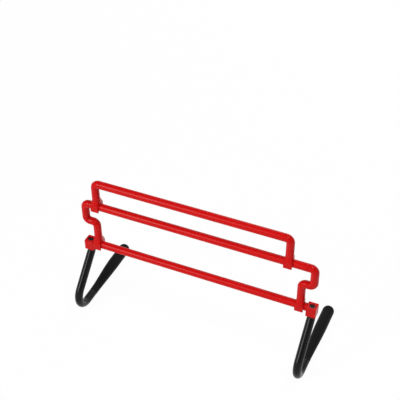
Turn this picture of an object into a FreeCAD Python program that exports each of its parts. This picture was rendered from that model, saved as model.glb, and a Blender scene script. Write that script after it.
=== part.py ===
import FreeCAD, Part
import math
import os
import re
import Sketcher
from FreeCAD import Placement, Rotation, Vector

# Speed hurdle: a base bar on two bent legs, a middle frame clipped to the base bar
# and a top frame clipped to the middle frame. X runs along the bars, Y to the back, Z up.

# Driving dimensions in millimetres: name, value, meaning
SIZES = [
    ("leg_pitch", 479, "between the upright axes of the two leg sockets"),
    ("bar_diameter", 16, "outside of every red tube and arm"),
    ("tube_wall", 2.5, "wall of the straight tubes"),
    ("base_axis_height", 142, "floor to the axis of the base bar"),
    ("mid_rise", 101, "base bar axis to mid bar axis"),
    ("top_rise", 57, "mid bar axis to top bar axis"),
    ("arm_step", 23.5, "clip of a mid arm out to the axis of its upper run"),
    ("mid_side_play", 3, "mid clip to socket when the mid frame is centred"),
    ("mid_rest_gap", 0.4, "mid clip to the left socket, where the mid frame is slid to"),
    ("top_side_play", 18.5, "top clip to the end of the mid bar when the top frame is centred"),
    ("top_rest_gap", 6.5, "top clip to the left end of the mid bar, where the frame is slid to"),
    ("elbow_radius", 1, "bend of the moulded elbows, on the inside"),
    ("step_drop", 43, "mid bar axis to the level run of the stepped arm"),
    ("arm_stub", 3, "straight run between an elbow and the tube that it plugs"),
    ("spigot_length", 18, "how deep a spigot goes into its tube"),
    ("spigot_clearance", 0.05, "radial glue gap round a spigot"),
    ("clip_width", 17, "length of a snap clip along its bar"),
    ("clip_clearance", 0.08, "radial running gap between clip and bar"),
    ("clip_rear_width", 10.5, "length of the rounded rear jaw along its bar"),
    ("clip_rear_wall", 8, "wall of the rounded rear jaw"),
    ("clip_front_wall", 3.4, "wall of the flat front jaw"),
    ("clip_jaw_drop", 8, "bar axis down to the jaw tips"),
    ("clip_mouth_width", 16.4, "mouth of the clip at the jaw tips"),
    ("clip_neck_width", 10.4, "width that the tapered mouth reaches at the bar axis"),
    ("gusset_top_height", 26, "bar axis up to where the gussets die into the arm"),
    ("socket_width", 20, "leg socket block along X"),
    ("socket_depth", 20, "leg socket block along Y"),
    ("socket_rise", 7, "base bar axis up to the top of the block"),
    ("socket_drop", 15, "base bar axis down to the bottom of the block"),
    ("socket_corner", 1.5, "fillet of the block's upright edges"),
    ("socket_rim", 0.6, "fillet round the block's top and bottom"),
    ("rod_diameter", 12.2, "bent steel rod of a leg"),
    ("rod_clearance", 0.08, "radial running gap between rod and socket bore"),
    ("sleeve_clearance", 0.05, "radial gap between rod and its covers"),
    ("rod_recess", 2, "top of the block down to the end of the rod"),
    ("swivel_gap", 0.2, "bottom of the block to the top of the sleeve"),
    ("knee_drop", 2, "bottom of the block to the start of the knee bend"),
    ("knee_radius", 11.5, "bend under the socket, on the axis"),
    ("heel_radius", 29.5, "bend at the floor, on the axis"),
    ("heel_setback", 39, "socket axis forward to the centre of the heel bend"),
    ("sleeve_diameter", 16.8, "outside of the leg sleeve"),
    ("boot_diameter", 24.4, "outside of the foot boot where it is full"),
    ("boot_lead", 14, "socket axis forward to the front end of the boot"),
    ("boot_full", 85, "socket axis back to where the boot is full"),
    ("boot_reach", 129, "socket axis back to the centre of the boot's round tip"),
    ("boot_end_wall", 8, "end of the rod to the centre of the round tip"),
    ("sole_cut", 0.5, "depth of the flat sole"),
    ("overrun", 1, "how far a cut runs past what it cuts"),
]

# Shares that set the front of the clip's hub, its gusset and the foot of the arm in it
HUB_FRONT_SHARE = 0.25
CLIP_ROOT_SHARE = 0.2
GUSSET_FOOT_SHARE = 0.75
GUSSET_REAR_SHARE = 0.8
GUSSET_TOP_SHARE = 0.66

# Expressions worked out from the driving dimensions
DERIVED = {
    "bar_radius": "bar_diameter / 2",
    "elbow_axis_radius": "bar_radius + elbow_radius",
    "tube_bore": "bar_radius - tube_wall",
    "spigot_radius": "tube_bore - spigot_clearance",
    "clip_bore": "bar_radius + clip_clearance",
    "clip_outside": "clip_bore + clip_rear_wall",
    "clip_face": "clip_bore + clip_front_wall",
    "hub_front": f"{HUB_FRONT_SHARE} * bar_radius",
    "clip_root_height": f"clip_bore + {CLIP_ROOT_SHARE} * clip_rear_wall",
    "gusset_foot_height": f"{GUSSET_FOOT_SHARE} * bar_radius",
    "gusset_rear_reach": f"{GUSSET_REAR_SHARE} * clip_outside",
    "gusset_top_width": f"{GUSSET_TOP_SHARE} * bar_diameter",
    "socket_bore": "rod_diameter / 2 + rod_clearance",
    "socket_inner_x": "leg_pitch / 2 - socket_width / 2",
    "socket_bottom": "base_axis_height - socket_drop",
    "cover_bore": "rod_diameter / 2 + sleeve_clearance",
    "sleeve_radius": "sleeve_diameter / 2",
    "boot_radius": "boot_diameter / 2",
    "boot_start": "-boot_lead",
    "foot_axis_height": "sleeve_radius - sole_cut",
    "heel_front": "heel_setback + heel_radius + sleeve_radius",
    "foot_back": "boot_reach + boot_radius",
    "bar_y": "(heel_front - foot_back) / 2",
    "mid_axis_height": "base_axis_height + mid_rise",
    "top_axis_height": "mid_axis_height + top_rise",
    "mid_clip_half_span": "socket_inner_x - clip_width / 2 - mid_side_play",
    "mid_half_span": "mid_clip_half_span + arm_step",
    "mid_slide": "mid_rest_gap - mid_side_play",
    "mid_tube_half": "mid_half_span - elbow_axis_radius - arm_stub",
    "top_half_span": "mid_tube_half - clip_width / 2 - top_side_play",
    "top_slide": "top_rest_gap - top_side_play",
    "top_tube_half": "top_half_span - elbow_axis_radius - arm_stub",
    "top_middle_x": "mid_slide + top_slide",
}

# Shares of the boot's length where its outline is given, and of its growth there
BOOT_PLACE_SHARES = (0, 0.25, 0.5, 0.75, 1)
BOOT_GROWTH_SHARES = (0, 0.16, 0.5, 0.84, 1)

doc = FreeCAD.newDocument("speed_hurdle")
sheet = doc.addObject("Spreadsheet::Sheet", "Sizes")
for row, (alias, value, meaning) in enumerate(SIZES, start=1):
    sheet.set(f"A{row}", alias)
    sheet.set(f"B{row}", str(value))
    sheet.set(f"C{row}", meaning)
    sheet.setAlias(f"B{row}", alias)
doc.recompute()
CELLS = {alias for alias, value, meaning in SIZES}

ALONG_X = Rotation(Vector(0, 1, 0), 90)
ALONG_Y = Rotation(Vector(1, 0, 0), -90)
UPRIGHT = Rotation()
WEDGE_UP = Rotation(Vector(1, 0, 0), 90)
PLANE_XZ = Rotation(Vector(1, 0, 0), 90)


def expand(text):
    """Write the names in an expression as cells of the sheet."""

    def swap(match):
        word = match.group(0)
        if word in CELLS:
            return f"Sizes.{word}"
        if word in DERIVED:
            return f"({expand(DERIVED[word])})"
        return word

    return re.sub(r"[a-z_]+", swap, text)


def number(text):
    """Value of an expression, for the start shape of a sketch that is then constrained."""
    return float(sheet.evalExpression(expand(text)))


def bind(thing, **expressions):
    """Tie properties of an object to expressions of the driving dimensions."""
    for name, text in expressions.items():
        thing.setExpression(name, expand(text))


def put(thing, place, turn=UPRIGHT):
    """Turn an object and tie its place to three expressions."""
    thing.Placement = Placement(Vector(), turn)
    for axis, text in zip("xyz", place):
        thing.setExpression(f"Placement.Base.{axis}", expand(text))
    return thing


def cylinder(name, radius, length, place, turn):
    thing = doc.addObject("Part::Cylinder", name)
    bind(thing, Radius=radius, Height=length)
    return put(thing, place, turn)


def box(name, length, width, height, place):
    thing = doc.addObject("Part::Box", name)
    bind(thing, Length=length, Width=width, Height=height)
    return put(thing, place)


def wedge(name, low, high, bottom, top, place):
    """Tapered block: (half x, front y, back y) at its foot and at its top, and the two heights."""
    thing = doc.addObject("Part::Wedge", name)
    bind(thing, Xmin=f"-({low[0]})", Xmax=low[0], Zmin=f"-({low[2]})", Zmax=f"-({low[1]})")
    bind(thing, X2min=f"-({high[0]})", X2max=high[0], Z2min=f"-({high[2]})", Z2max=f"-({high[1]})")
    bind(thing, Ymin=bottom, Ymax=top)
    return put(thing, place, WEDGE_UP)


def elbow(name, centre, start_angle):
    """Quarter bend of a round arm in the plane of the frame."""
    thing = doc.addObject("Part::Torus", name)
    bind(thing, Radius1="elbow_axis_radius", Radius2="bar_radius")
    thing.Angle3 = 90
    return put(thing, centre, PLANE_XZ.multiply(Rotation(Vector(0, 0, 1), start_angle)))


def fuse(name, pieces):
    thing = doc.addObject("Part::MultiFuse", name)
    thing.Shapes = pieces
    return thing


def cut(name, base, tool):
    thing = doc.addObject("Part::Cut", name)
    thing.Base = base
    thing.Tool = tool
    return thing


def mirrored(name, source, plane_x):
    """The other hand of a piece, mirrored in the middle plane of its frame."""
    thing = doc.addObject("Part::Mirroring", name)
    thing.Source = source
    thing.Normal = Vector(1, 0, 0)
    thing.setExpression("Base.x", expand(plane_x))
    return thing


def tube(name, half_length, middle_x, axis_height):
    """Straight tube along X, open at both ends."""
    start = f"{middle_x} - ({half_length})"
    place = (start, "bar_y", axis_height)
    outside = cylinder(f"{name}_outside", "bar_radius", f"2 * ({half_length})", place, ALONG_X)
    bore_place = (f"{start} - overrun", "bar_y", axis_height)
    bore_length = f"2 * ({half_length}) + 2 * overrun"
    bore = cylinder(f"{name}_bore", "tube_bore", bore_length, bore_place, ALONG_X)
    return cut(name, outside, bore)


def arm_run(name, start, length, turn):
    return cylinder(name, "bar_radius", length, start, turn)


def clip_solids(name, middle_x, axis_height):
    """Narrow rounded rear jaw, wide flat front jaw and gussets of a snap clip round a bar."""
    left = f"{middle_x} - clip_width / 2"
    hub_left = f"{middle_x} - clip_rear_width / 2"
    hub_place = (hub_left, "0", axis_height)
    hub_round = cylinder(f"{name}_round", "clip_outside", "clip_rear_width", hub_place, ALONG_X)
    trim_reach = "(clip_outside + overrun)"
    trim_place = (
        f"{hub_left} - overrun", f"-{trim_reach}", f"{axis_height} - {trim_reach}"
    )
    trim = box(
        f"{name}_trim",
        "clip_rear_width + 2 * overrun",
        f"{trim_reach} - hub_front",
        f"2 * {trim_reach}",
        trim_place,
    )
    hub = cut(f"{name}_hub", hub_round, trim)
    jaw_height = "clip_outside + gusset_foot_height"
    jaw_place = (left, "-clip_face", f"{axis_height} - clip_outside")
    jaw = box(f"{name}_front_jaw", "clip_width", "clip_face", jaw_height, jaw_place)
    heights = ("gusset_foot_height", "gusset_top_height")
    middle = (middle_x, "0", axis_height)
    top_half = "gusset_top_width / 2"
    front_gusset = wedge(
        f"{name}_front_gusset",
        ("clip_width / 2", "-clip_face", "0"),
        (top_half, f"-{top_half}", "0"),
        *heights,
        middle,
    )
    rear_gusset = wedge(
        f"{name}_rear_gusset",
        ("clip_rear_width / 2", "0", "gusset_rear_reach"),
        (f"{top_half} * clip_rear_width / clip_width", "0", top_half),
        *heights,
        middle,
    )
    return [hub, jaw, front_gusset, rear_gusset]


def clip_cuts(name, middle_x, axis_height):
    """Bore, tapered mouth and jaw tips of a snap clip."""
    left = f"{middle_x} - clip_width / 2 - overrun"
    length = "clip_width + 2 * overrun"
    bore = cylinder(f"{name}_bore", "clip_bore", length, (left, "0", axis_height), ALONG_X)
    mouth = wedge(
        f"{name}_mouth",
        (f"({length}) / 2", "-clip_mouth_width / 2", "clip_mouth_width / 2"),
        (f"({length}) / 2", "-clip_neck_width / 2", "clip_neck_width / 2"),
        "-clip_jaw_drop",
        "0",
        (middle_x, "0", axis_height),
    )
    reach = "clip_outside + overrun"
    tips_place = (left, f"-({reach})", f"{axis_height} - ({reach})")
    tips = box(
        f"{name}_tips", length, f"2 * ({reach})", f"{reach} - clip_jaw_drop", tips_place
    )
    return fuse(f"{name}_cuts", [bore, mouth, tips])


def spigot(name, tube_end, axis_height):
    """Plug of a right-hand end piece, inside the tube that ends at tube_end."""
    place = (f"{tube_end} - spigot_length", "0", axis_height)
    return cylinder(name, "spigot_radius", "spigot_length", place, ALONG_X)


def corner(name, tube_end, arm_x, bar_height, lower_end):
    """Spigot, stub, elbow and downward run of a right-hand arm."""
    run_place = (arm_x, "0", lower_end)
    run_length = f"{bar_height} - elbow_axis_radius - ({lower_end})"
    centre = (f"{arm_x} - elbow_axis_radius", "0", f"{bar_height} - elbow_axis_radius")
    stub_place = (tube_end, "0", bar_height)
    return [
        spigot(f"{name}_spigot", tube_end, bar_height),
        arm_run(f"{name}_stub", stub_place, "arm_stub", ALONG_X),
        elbow(f"{name}_elbow", centre, 0),
        arm_run(f"{name}_run", run_place, run_length, UPRIGHT),
    ]


def on_bars(arm):
    """Set an arm, made in the plane y = 0, in the plane of the bars."""
    return put(arm, ("0", "bar_y", "0"))


def mid_arms():
    """Stepped arms: down from the mid bar, inward, then down to the clip on the base bar."""
    name = "right_mid_arm"
    upper_x = "mid_slide + mid_half_span"
    lower_x = "mid_slide + mid_clip_half_span"
    step_height = "(mid_axis_height - step_drop)"
    clip_top = "base_axis_height + clip_root_height"
    pieces = corner(
        name,
        "mid_slide + mid_tube_half",
        upper_x,
        "mid_axis_height",
        f"{step_height} + elbow_axis_radius",
    )
    outer_centre = (f"{upper_x} - elbow_axis_radius", "0", f"{step_height} + elbow_axis_radius")
    pieces.append(elbow(f"{name}_outer_bend", outer_centre, 270))
    level_place = (f"{lower_x} + elbow_axis_radius", "0", step_height)
    level_length = "arm_step - 2 * elbow_axis_radius"
    pieces.append(arm_run(f"{name}_level", level_place, level_length, ALONG_X))
    inner_centre = (f"{lower_x} + elbow_axis_radius", "0", f"{step_height} - elbow_axis_radius")
    pieces.append(elbow(f"{name}_inner_bend", inner_centre, 90))
    lower_length = f"{step_height} - elbow_axis_radius - ({clip_top})"
    lower_place = (lower_x, "0", clip_top)
    pieces.append(arm_run(f"{name}_lower", lower_place, lower_length, UPRIGHT))
    pieces += clip_solids(name, lower_x, "base_axis_height")
    cuts = clip_cuts(name, lower_x, "base_axis_height")
    right = on_bars(cut(name, fuse(f"{name}_solid", pieces), cuts))
    return [right, mirrored("left_mid_arm", right, "mid_slide")]


def top_arms():
    """Short arms: down from the top bar to the clip on the mid bar."""
    name = "right_top_arm"
    arm_x = "top_middle_x + top_half_span"
    pieces = corner(
        name,
        "top_middle_x + top_tube_half",
        arm_x,
        "top_axis_height",
        "mid_axis_height + clip_root_height",
    )
    pieces += clip_solids(name, arm_x, "mid_axis_height")
    cuts = clip_cuts(name, arm_x, "mid_axis_height")
    right = on_bars(cut(name, fuse(f"{name}_solid", pieces), cuts))
    return [right, mirrored("left_top_arm", right, "top_middle_x")]


def base_plane(body, role):
    """Origin plane of a body, by its role."""
    for feature in body.Origin.OriginFeatures:
        if feature.Role == role:
            return feature
    raise RuntimeError(f"no {role} in {body.Name}")


def new_sketch(body, name, role):
    sketch = body.newObject("Sketcher::SketchObject", name)
    sketch.AttachmentSupport = [(base_plane(body, role), "")]
    sketch.MapMode = "FlatFace"
    return sketch


def dimension(sketch, kind, places, text):
    """Add a dimension and tie it to an expression."""
    index = sketch.addConstraint(Sketcher.Constraint(kind, *places, number(text)))
    sketch.setExpression(f"Constraints[{index}]", expand(text))


def circle_sketch(body, name, role, radius):
    """Circle round the origin of a plane."""
    sketch = new_sketch(body, name, role)
    sketch.addGeometry(Part.Circle(Vector(), Vector(0, 0, 1), number(radius)))
    sketch.addConstraint(Sketcher.Constraint("Coincident", 0, 3, -1, 1))
    dimension(sketch, "Radius", (0,), radius)
    return sketch


def sockets():
    """Blocks at the ends of the base bar, with an upright bore for a leg and a spigot."""
    body = doc.addObject("PartDesign::Body", "right_socket")
    outline = new_sketch(body, "socket_outline", "XY_Plane")
    half_x = number("socket_width / 2")
    half_y = number("socket_depth / 2")
    corners = [(-half_x, -half_y), (half_x, -half_y), (half_x, half_y), (-half_x, half_y)]
    for start, end in zip(corners, corners[1:] + corners[:1]):
        outline.addGeometry(Part.LineSegment(Vector(*start, 0), Vector(*end, 0)))
    for side in range(4):
        outline.addConstraint(Sketcher.Constraint("Coincident", side, 2, (side + 1) % 4, 1))
        level = "Horizontal" if side % 2 == 0 else "Vertical"
        outline.addConstraint(Sketcher.Constraint(level, side))
    outline.addConstraint(Sketcher.Constraint("Symmetric", 0, 1, 1, 2, -1, 1))
    dimension(outline, "DistanceX", (0, 1, 0, 2), "socket_width")
    dimension(outline, "DistanceY", (1, 1, 1, 2), "socket_depth")
    block = body.newObject("PartDesign::Pad", "socket_block")
    block.Profile = outline
    bind(block, Length="socket_rise + socket_drop")
    doc.recompute()

    edges = block.Shape.Edges
    upright = [f"Edge{i}" for i, edge in enumerate(edges, 1) if edge.tangentAt(0).z ** 2 > 0.5]
    corners_fillet = body.newObject("PartDesign::Fillet", "socket_corners")
    corners_fillet.Base = (block, upright)
    bind(corners_fillet, Radius="socket_corner")
    doc.recompute()

    level_faces = [
        f"Face{i}"
        for i, face in enumerate(corners_fillet.Shape.Faces, 1)
        if face.normalAt(0, 0).z ** 2 > 0.5
    ]
    rim = body.newObject("PartDesign::Fillet", "socket_rims")
    rim.Base = (corners_fillet, level_faces)
    bind(rim, Radius="socket_rim")
    doc.recompute()

    bore = body.newObject("PartDesign::Pocket", "leg_bore")
    bore.Profile = circle_sketch(body, "leg_bore_outline", "XY_Plane", "socket_bore")
    bore.Type = "ThroughAll"
    bore.Midplane = True

    plug = body.newObject("PartDesign::Pad", "bar_plug")
    plug_outline = circle_sketch(body, "bar_plug_outline", "YZ_Plane", "spigot_radius")
    plug_outline.setExpression("AttachmentOffset.Base.z", expand("-socket_width / 2"))
    plug_outline.setExpression("AttachmentOffset.Base.y", expand("socket_drop"))
    plug.Profile = plug_outline
    plug.Reversed = True
    bind(plug, Length="spigot_length")
    put(body, ("leg_pitch / 2", "bar_y", "socket_bottom"))
    return [body, mirrored("left_socket", body, "0")]


def leg_path(body, name, start_height, end_y):
    """Axis of a leg in its own plane: down, knee, slanted run, heel and along the floor."""
    sketch = new_sketch(body, name, "YZ_Plane")
    knee = number("knee_radius")
    heel = number("heel_radius")
    knee_centre = Vector(-knee, number("socket_bottom - knee_drop"), 0)
    heel_centre = Vector(number("-heel_setback"), number("foot_axis_height + heel_radius"), 0)
    # The slanted run touches both bends, which turn opposite ways
    across = heel_centre - knee_centre
    lean = math.asin((knee + heel) / across.Length) + math.atan2(-across.x, -across.y)
    knee_end = knee_centre + Vector(math.cos(lean), -math.sin(lean), 0) * knee
    heel_start = heel_centre + Vector(-math.cos(lean), math.sin(lean), 0) * heel
    heel_end = heel_centre - Vector(0, heel, 0)
    top = Vector(0, number(start_height), 0)
    knee_start = Vector(0, knee_centre.y, 0)
    toe = Vector(number(end_y), heel_end.y, 0)
    out = Vector(0, 0, 1)
    sketch.addGeometry(Part.LineSegment(top, knee_start))
    sketch.addGeometry(Part.ArcOfCircle(Part.Circle(knee_centre, out, knee), -lean, 0))
    sketch.addGeometry(Part.LineSegment(knee_end, heel_start))
    heel_circle = Part.Circle(heel_centre, out, heel)
    sketch.addGeometry(Part.ArcOfCircle(heel_circle, math.pi - lean, 1.5 * math.pi))
    sketch.addGeometry(Part.LineSegment(heel_end, toe))

    sketch.addConstraint(Sketcher.Constraint("PointOnObject", 0, 1, -2))
    sketch.addConstraint(Sketcher.Constraint("Vertical", 0))
    sketch.addConstraint(Sketcher.Constraint("Tangent", 0, 2, 1, 2))
    sketch.addConstraint(Sketcher.Constraint("Tangent", 1, 1, 2, 1))
    sketch.addConstraint(Sketcher.Constraint("Tangent", 2, 2, 3, 1))
    sketch.addConstraint(Sketcher.Constraint("Tangent", 3, 2, 4, 1))
    sketch.addConstraint(Sketcher.Constraint("Horizontal", 4))
    dimension(sketch, "Radius", (1,), "knee_radius")
    dimension(sketch, "Radius", (3,), "heel_radius")
    dimension(sketch, "DistanceY", (-1, 1, 0, 1), start_height)
    dimension(sketch, "DistanceY", (-1, 1, 0, 2), "socket_bottom - knee_drop")
    dimension(sketch, "DistanceY", (-1, 1, 4, 1), "foot_axis_height")
    dimension(sketch, "DistanceX", (3, 3, -1, 1), "heel_setback")
    dimension(sketch, "DistanceX", (4, 1, 4, 2), f"heel_setback + ({end_y})")
    return sketch


def leg_pipe(body, kind, name, radius, start_height, end_y):
    """Round section carried along the axis of a leg, added to a body or taken from it."""
    section = circle_sketch(body, f"{name}_section", "XY_Plane", radius)
    section.setExpression("AttachmentOffset.Base.z", expand(start_height))
    path = leg_path(body, f"{name}_path", start_height, end_y)
    pipe = body.newObject(f"PartDesign::{kind}", name)
    pipe.Profile = section
    pipe.Spine = (path, [f"Edge{i}" for i in range(1, path.GeometryCount + 1)])
    doc.recompute()
    return pipe


def on_floor(name, solid):
    """Flat sole: what lies under the floor is cut away."""
    width = "2 * boot_diameter"
    depth = "sleeve_diameter"
    front = "bar_y - heel_front - overrun"
    length = "heel_front + foot_back + 2 * overrun"
    place = (f"leg_pitch / 2 - ({width}) / 2", front, f"-({depth})")
    return cut(name, solid, box(f"{name}_floor", width, length, depth, place))


def leg_rods():
    body = doc.addObject("PartDesign::Body", "right_leg_rod")
    top = "base_axis_height + socket_rise - rod_recess"
    leg_pipe(body, "AdditivePipe", "rod", "rod_diameter / 2", top, "boot_reach - boot_end_wall")
    put(body, ("leg_pitch / 2", "bar_y", "0"))
    return [body, mirrored("left_leg_rod", body, "0")]


def leg_sleeves():
    """Tubing over the slanted run and the heel, from the socket to the boot."""
    body = doc.addObject("PartDesign::Body", "sleeve_body")
    top = "socket_bottom - swivel_gap"
    leg_pipe(body, "AdditivePipe", "sleeve_outside", "sleeve_radius", top, "boot_start")
    leg_pipe(body, "SubtractivePipe", "sleeve_bore", "cover_bore", top, "boot_start")
    put(body, ("leg_pitch / 2", "bar_y", "0"))
    right = on_floor("right_leg_sleeve", body)
    return [right, mirrored("left_leg_sleeve", right, "0")]


def foot_boots():
    """Boot over the rod on the floor: it swells upward from the sleeve to a full round end."""
    leg_x = "leg_pitch / 2"
    sections = []
    for index, (place, growth) in enumerate(zip(BOOT_PLACE_SHARES, BOOT_GROWTH_SHARES)):
        radius = f"sleeve_radius + {growth} * (boot_radius - sleeve_radius)"
        section = doc.addObject("Part::Circle", f"boot_section_{index}")
        bind(section, Radius=radius)
        along = f"bar_y + boot_start + {place} * (boot_full - boot_start)"
        sections.append(put(section, (leg_x, along, f"{radius} - sole_cut"), ALONG_Y))
    swell = doc.addObject("Part::Loft", "boot_swell")
    swell.Sections = sections
    swell.Solid = True

    height = "boot_radius - sole_cut"
    straight_place = (leg_x, "bar_y + boot_full", height)
    straight = cylinder(
        "boot_straight", "boot_radius", "boot_reach - boot_full", straight_place, ALONG_Y
    )
    tip = doc.addObject("Part::Sphere", "boot_tip")
    bind(tip, Radius="boot_radius")
    put(tip, (leg_x, "bar_y + boot_reach", height), ALONG_Y)
    bore_length = "boot_reach - boot_start - boot_end_wall + overrun"
    bore_place = (leg_x, "bar_y + boot_start - overrun", "foot_axis_height")
    bore = cylinder("boot_bore", "cover_bore", bore_length, bore_place, ALONG_Y)
    hollow = cut("boot_hollow", fuse("boot_solid", [swell, straight, tip]), bore)
    right = on_floor("right_foot_boot", hollow)
    return [right, mirrored("left_foot_boot", right, "0")]


pieces = [
    tube("base_bar", "socket_inner_x", "0", "base_axis_height"),
    tube("mid_bar", "mid_tube_half", "mid_slide", "mid_axis_height"),
    tube("top_bar", "top_tube_half", "top_middle_x", "top_axis_height"),
]
pieces += sockets()
pieces += mid_arms()
pieces += top_arms()
pieces += leg_rods()
pieces += leg_sleeves()
pieces += foot_boots()
doc.recompute()

for thing in doc.Objects:
    if "Invalid" in thing.State or "Error" in thing.State:
        raise RuntimeError(f"{thing.Name} failed: {thing.State}")
for piece in pieces:
    shape = piece.Shape
    if shape.isNull() or not shape.isValid() or len(shape.Solids) != 1:
        raise RuntimeError(f"{piece.Label} is not one valid solid")

os.makedirs("parts", exist_ok=True)
for piece in pieces:
    piece.Shape.exportStep(f"parts/{piece.Label}.step")
    box_of = piece.Shape.BoundBox
    print(f"{piece.Label}: {piece.Shape.Volume:.0f} mm3, {box_of}")
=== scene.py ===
"""Speed hurdle: moulded end pieces, extruded tubes, sleeved legs and rubber boots in a white studio."""

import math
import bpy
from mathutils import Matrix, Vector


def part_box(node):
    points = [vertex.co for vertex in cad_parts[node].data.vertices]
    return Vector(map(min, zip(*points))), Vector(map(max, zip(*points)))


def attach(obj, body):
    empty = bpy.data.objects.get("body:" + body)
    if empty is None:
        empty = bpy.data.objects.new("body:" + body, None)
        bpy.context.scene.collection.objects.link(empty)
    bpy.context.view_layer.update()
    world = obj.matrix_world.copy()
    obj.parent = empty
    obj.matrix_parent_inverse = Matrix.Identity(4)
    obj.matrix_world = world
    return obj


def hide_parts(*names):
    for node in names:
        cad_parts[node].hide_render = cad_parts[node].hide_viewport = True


bl_info = {
    "name": "Speed Hurdle",
    "version": (1, 0, 0),
    "blender": (4, 5, 0),
    "location": "View3D > Sidebar > Hurdle",
    "description": "Dresses the packed speed hurdle and sets its studio",
    "category": "Object",
}

import bmesh
import bpy
import numpy as np
from bpy.props import FloatProperty, FloatVectorProperty, PointerProperty
from mathutils import Matrix, Vector

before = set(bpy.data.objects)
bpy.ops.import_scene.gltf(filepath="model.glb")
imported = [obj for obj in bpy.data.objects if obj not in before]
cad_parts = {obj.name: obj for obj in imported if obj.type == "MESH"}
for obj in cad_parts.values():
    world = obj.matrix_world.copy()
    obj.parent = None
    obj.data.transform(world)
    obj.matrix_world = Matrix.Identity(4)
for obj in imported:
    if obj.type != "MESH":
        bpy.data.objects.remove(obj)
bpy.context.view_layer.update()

MM = 0.001
SIDES = {"left": -1, "right": 1}
BAR_BODIES = {"base_bar": "base", "mid_bar": "mid_frame", "top_bar": "top_frame"}

# Points closer than this are one point, and a place nearer than this to a line is on it
ONE_POINT = 1e-7
ON_LINE = 1e-6

# Points round each kind of section
TUBE_AROUND = 96
ARM_AROUND = 112
CLIP_AROUND = 240
COVER_AROUND = 72
ROD_AROUND = 64
SWEEP_AROUND = 96

# Steps along the bent axes, and points along runs and rounds
ARM_AXIS_STEP = 1.1 * MM
LEG_AXIS_STEP = 1.2 * MM
FEWEST_IN_RUN = 2
FEWEST_IN_ARC = 8
TUBE_RUN_POINTS = 48
TUBE_LIP_POINTS = 7
CLIP_RUN_POINTS = 9
CLIP_EDGE_POINTS = 6
CLIP_REAR_POINTS = 90
BORE_RUN_POINTS = 7
BORE_EDGE_POINTS = 5
BORE_TURN_POINTS = 140
COVER_LIP_POINTS = 5
BOOT_RUN_POINTS = 130
BOOT_TIP_POINTS = 20
BOOT_BORE_POINTS = 40
COVE_POINTS = 12
FLOOR_RINGS = 24

# Turn from level back at which the round of a rear jaw starts, inside the arm
REAR_ROUND_START = math.radians(50)
# Easing of a clip's outline, and edge of its bore, in roundings of its edges
CORNER_EASE_SHARE = 3
BORE_EDGE_SHARE = 0.5
# Gussets: power of the rear one's swell, what each adds to its section's power, and the rear one's waist
REAR_GUSSET_POWER = 1.4
FRONT_SQUARING = 3
REAR_SQUARING = 1
REAR_NARROWING = 1.5
# Innermost ring in the dish of a rod's core
CORE_EYE_SHARE = 0.3


def middle(node):
    """Middle of a node's box."""
    low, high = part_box(node)
    return (Vector(low) + Vector(high)) / 2


def half_span(node):
    """Half the sides of a node's box."""
    low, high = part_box(node)
    return (Vector(high) - Vector(low)) / 2


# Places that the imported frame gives
BAR_Y = middle("base_bar").y
BAR_HEIGHTS = {node: middle(node).z for node in BAR_BODIES}
BAR_RADIUS = half_span("base_bar").z
LEG_X = {side: middle(f"{side}_leg_sleeve").x for side in SIDES}


def linear(code):
    """Linear colour of an sRGB hex value: a straight foot up to 0.04045, then the 2.4 power."""
    srgb = np.array([int(code[place:place + 2], 16) for place in (1, 3, 5)]) / 255
    foot = srgb / 12.92
    curve = ((srgb + 0.055) / 1.055) ** 2.4
    return tuple(float(value) for value in np.where(srgb <= 0.04045, foot, curve))


def length(name, description, millimetres):
    """Length property with its default in millimetres."""
    return FloatProperty(name=name, description=description, default=millimetres * MM, unit="LENGTH")


def colour(name, description, code):
    """Colour property with its default as an sRGB hex value."""
    return FloatVectorProperty(
        name=name, description=description, default=linear(code), subtype="COLOR", min=0, max=1
    )


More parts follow.
